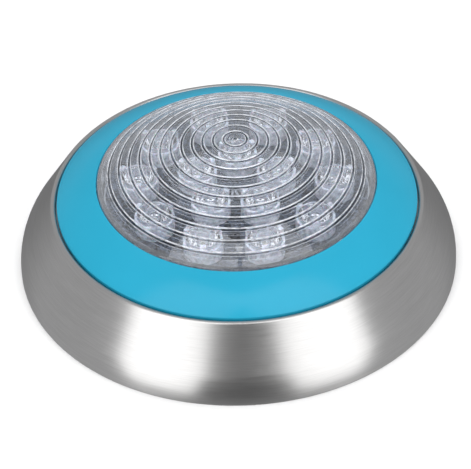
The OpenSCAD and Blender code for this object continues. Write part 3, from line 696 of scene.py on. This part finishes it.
def make_skirt(material):
    lean = math.radians(SIDE_LEAN)
    side_top_r = SHOULDER_R + SHOULDER_ROUND * math.cos(lean)
    side_top_z = SHOULDER_Z + SHOULDER_ROUND * math.sin(lean)
    sweep = ((math.tan(lean) * (side_top_z - LIP_H) - (SKIRT_R - side_top_r))
             * math.cos(lean) / (1 - math.cos(lean)))
    outer = ([(SKIRT_R, 0.0)]
             + arc(SKIRT_R - sweep, LIP_H, sweep, 0.0, SIDE_LEAN, 24)
             + arc(SHOULDER_R, SHOULDER_Z, SHOULDER_ROUND, SIDE_LEAN, 180.0, 24))
    inner = (arc(SHOULDER_R, SHOULDER_Z, SHOULDER_ROUND - SKIRT_T, 180.0, SIDE_LEAN, 12)
             + arc(SKIRT_R - sweep, LIP_H, sweep - SKIRT_T, SIDE_LEAN, 0.0, 24))
    section = (outer
               + [(SEAT_R, FLANGE_TOP - SKIRT_T), (SEAT_R + SKIRT_T, FLANGE_TOP - SKIRT_T)]
               + inner
               + [(SKIRT_R - SKIRT_T, 0.0)])
    bm = bmesh.new()
    revolve(bm, rounded(section, 0.35), 384)
    skirt = finish_mesh(bm, "skirt_shell", material)

    # The pocket for the lock screw at the back of the rim: an arch let into the side
    lock_z, pocket_w, pocket_floor, slot_w = 9.0, 13.0, 109.5, 5.8

    def arch(width, y0, y1, name):
        tool = bmesh.new()
        outline = [(-width / 2, -1.0), (width / 2, -1.0)] + arc(0.0, lock_z, width / 2, 0.0, 180.0, 24)
        near = [tool.verts.new((x * MM, y0 * MM, z * MM)) for x, z in outline]
        far = [tool.verts.new((x * MM, y1 * MM, z * MM)) for x, z in outline]
        tool.faces.new(near)
        tool.faces.new(far[::-1])
        for i in range(len(outline)):
            n = (i + 1) % len(outline)
            tool.faces.new((near[i], far[i], far[n], near[n]))
        return finish_mesh(tool, name, material)

    block = arch(pocket_w + 2 * SKIRT_T, pocket_floor - SKIRT_T, SKIRT_R + 5.0, "pocket_block")
    bm = bmesh.new()
    revolve(bm, [(0.0, 0.0)] + outer + [(0.0, SHOULDER_Z)], 384)
    envelope = finish_mesh(bm, "pocket_envelope", material)
    combine(block, envelope, "INTERSECT")
    combine(skirt, block, "UNION")
    combine(skirt, arch(pocket_w, pocket_floor, SKIRT_R + 6.0, "pocket_cut"), "DIFFERENCE")
    combine(skirt, arch(slot_w, pocket_floor - SKIRT_T - 8.0, SKIRT_R + 6.0, "slot_cut"), "DIFFERENCE")
    smooth(skirt, 32.0)
    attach(skirt, "lamp")
    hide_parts("face_skirt")
    return skirt


def make_trim(material):
    chord = math.hypot(TRIM_OUTER_R - TRIM_INNER_R, TRIM_INNER_Z - TRIM_OUTER_Z)
    radius = chord * chord / (8 * TRIM_BOW) + TRIM_BOW / 2
    tilt = math.degrees(math.atan2(TRIM_OUTER_R - TRIM_INNER_R, TRIM_INNER_Z - TRIM_OUTER_Z))
    half = math.degrees(math.asin(chord / 2 / radius))
    cx = (TRIM_OUTER_R + TRIM_INNER_R) / 2 - (radius - TRIM_BOW) * math.cos(math.radians(tilt))
    cz = (TRIM_INNER_Z + TRIM_OUTER_Z) / 2 - (radius - TRIM_BOW) * math.sin(math.radians(tilt))
    lip_bottom = FLANGE_TOP + 0.4
    section = ([(TRIM_OUTER_R - TRIM_T, lip_bottom), (TRIM_OUTER_R, lip_bottom)]
               + arc(cx, cz, radius, tilt - half, tilt + half, 28)
               + [(TRIM_INNER_R, TRIM_INNER_BOTTOM), (TRIM_INNER_R + TRIM_T, TRIM_INNER_BOTTOM)]
               + arc(cx, cz, radius - TRIM_T, tilt + half * 0.78, tilt - half * 0.84, 16))
    bm = bmesh.new()
    revolve(bm, rounded(section, 0.7, 6), 384)
    trim = finish_mesh(bm, "trim_ring_shell", material)
    bm = bmesh.new()
    for i in range(6):
        peg_top = 44.5
        peg = [(0.0, FLANGE_TOP + 0.5), (2.0, FLANGE_TOP + 0.5), (2.0, peg_top), (0.0, peg_top)]
        revolve(bm, rounded(peg, 0.3), 32, polar(CLAMP_SCREW_R, 60 * i))
    combine(trim, finish_mesh(bm, "pegs", material), "UNION")
    smooth(trim, 32.0)
    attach(trim, "trim")
    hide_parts("trim_ring")
    return trim


def dome_z(r, radius=DOME_R):
    return APEX_Z - DOME_R + math.sqrt(radius * radius - r * r)


def make_lens(material):
    edge_ease = 1.0
    half = RING_W / 2
    # How deep a moulded ring is at each share of its half width: flat in the middle, eased at its
    # shoulders, and with a point on the dome at each side so that only the shoulders are shaded as bent
    fall = [(0.42, 1.0), (0.60, 1.0), (0.68, 0.88), (0.80, 0.50), (0.92, 0.12), (1.0, 0.0), (1.3, 0.0)]
    steps = [(-share, depth) for share, depth in reversed(fall)] + fall
    section = [(0.0, APEX_Z)]
    for ring in RING_RADII:
        for share, depth in steps:
            q = ring + half * share
            section.append((q, dome_z(q) - RING_DEPTH * depth))
        between = ring + RING_STEP / 2 if ring > CENTRE_RING_R else 2 * CENTRE_RING_R
        section.append((between, dome_z(between)))
    rim_r = LENS_R - edge_ease
    section = [p for p in section if p[0] < rim_r]
    section += [(rim_r, dome_z(rim_r)), (LENS_R - 0.35, dome_z(rim_r) - 0.45), (LENS_R, dome_z(rim_r) - 1.3),
                (LENS_R, FLANGE_TOP), (LENS_FLANGE_R, FLANGE_TOP),
                (LENS_FLANGE_R, FLANGE_TOP - LENS_FLANGE_T), (LENS_INNER_R, FLANGE_TOP - LENS_FLANGE_T)]
    inner_steps = 24
    inner_radius = DOME_R - LENS_T
    section += [(LENS_INNER_R * i / inner_steps, dome_z(LENS_INNER_R * i / inner_steps, inner_radius))
                for i in range(inner_steps, -1, -1)]
    bm = bmesh.new()
    revolve(bm, section, 288)
    lens = finish_mesh(bm, "lens_dome", material, 40.0)
    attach(lens, "lamp")
    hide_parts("lens")
    return lens


def optic_section():
    """Outline of a clear collimator: bowed side, flange, a dimple on top and a domed pocket for the LED."""
    foot_r, flange_h = 4.0, 1.4
    pocket_r, pocket_h, pocket_dome = 3.0, 4.6, 0.5
    dimple_r, dimple_h, dimple_dome = 3.2, 1.6, 0.35
    dimple_floor_r = dimple_r - 0.8
    side_top = OPTIC_R - 0.5
    side = []
    steps = 10
    for i in range(steps + 1):
        t = i / steps
        bow = 0.55 * math.sin(math.pi * t)
        side.append((foot_r + (side_top - foot_r) * t + bow, OPTIC_Z + (OPTIC_H - flange_h) * t - bow * 0.3))
    top = OPTIC_Z + OPTIC_H
    outline = side + [(OPTIC_R, top - flange_h), (OPTIC_R, top), (dimple_r, top)]
    outline += [(dimple_floor_r, top - dimple_h)]
    quarter = math.pi / 2
    for k in range(1, 7):
        t = k / 6
        outline.append((dimple_floor_r * (1 - t), top - dimple_h + dimple_dome * math.sin(quarter * t)))
    for k in range(7):
        t = k / 6
        outline.append((pocket_r * t, OPTIC_Z + pocket_h + pocket_dome * math.cos(quarter * t)))
    outline += [(pocket_r, OPTIC_Z)]
    return outline


def make_optics(name, node, places, material):
    bm = bmesh.new()
    section = rounded(optic_section(), 0.22, 3, 30.0)
    for place in places:
        revolve(bm, section, 56, place)
    piece = finish_mesh(bm, name, material, 35.0)
    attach(piece, "lamp")
    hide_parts(node)
    return piece


# ---------------------------------------------------------------- small parts on the LED board


def make_board_details(materials):
    """The two solder joints beside each LED."""
    joint_r, joint_h, joint_out = 0.95, 0.5, 3.6
    joint = [(0.0, BOARD_TOP)]
    joint += [(joint_r * math.cos(a), BOARD_TOP + joint_h * math.sin(a)) for a in (0.0, 0.4, 0.8, 1.2)]
    joint += [(0.0, BOARD_TOP + joint_h)]
    bm = bmesh.new()
    for places, first in ((OUTER_PLACES, OUTER_LED_FIRST), (INNER_PLACES, INNER_LED_FIRST)):
        for i, (x, y) in enumerate(places):
            turn = math.radians(first + i * 360.0 / len(places))
            for side in (-joint_out, joint_out):
                revolve(bm, joint, 16, (x + side * math.cos(turn), y + side * math.sin(turn)))
    pads = finish_mesh(bm, "led_solder_joints", materials["solder"], 50.0)
    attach(pads, "lamp")


# ---------------------------------------------------------------- CAD nodes that keep their shape

# Small parts whose finish isn't their record slot's
TURNED = {"clip_rivets", "lock_nut", "lock_screw", "clamp_screws", "driver_screws", "terminal_screws"}
BLACKENED = {"heat_sink_screws", "board_screws"}


def finish_cad_nodes(materials):
    slot_of = {part["node"]: part["material_slot"] for part in frame["record"]["subparts"]}
    for name, obj in nodes.items():
        key = slot_of[name]
        if name in TURNED:
            key = "turned_stainless"
        elif name in BLACKENED:
            key = "black_steel"
        obj.data.materials.clear()
        obj.data.materials.append(materials[key])


make_camera()
make_light()
make_floor()
mats = build_materials()
finish_cad_nodes(mats)
make_skirt(mats["brushed_stainless"])
make_trim(mats["blue_gloss_plastic"])
make_lens(mats["clear_polycarbonate"])
make_optics("optic_set_outer", "optics_outer", OUTER_PLACES, mats["clear_acrylic"])
make_optics("optic_set_inner", "optics_inner", INNER_PLACES, mats["clear_acrylic"])
make_board_details(mats)
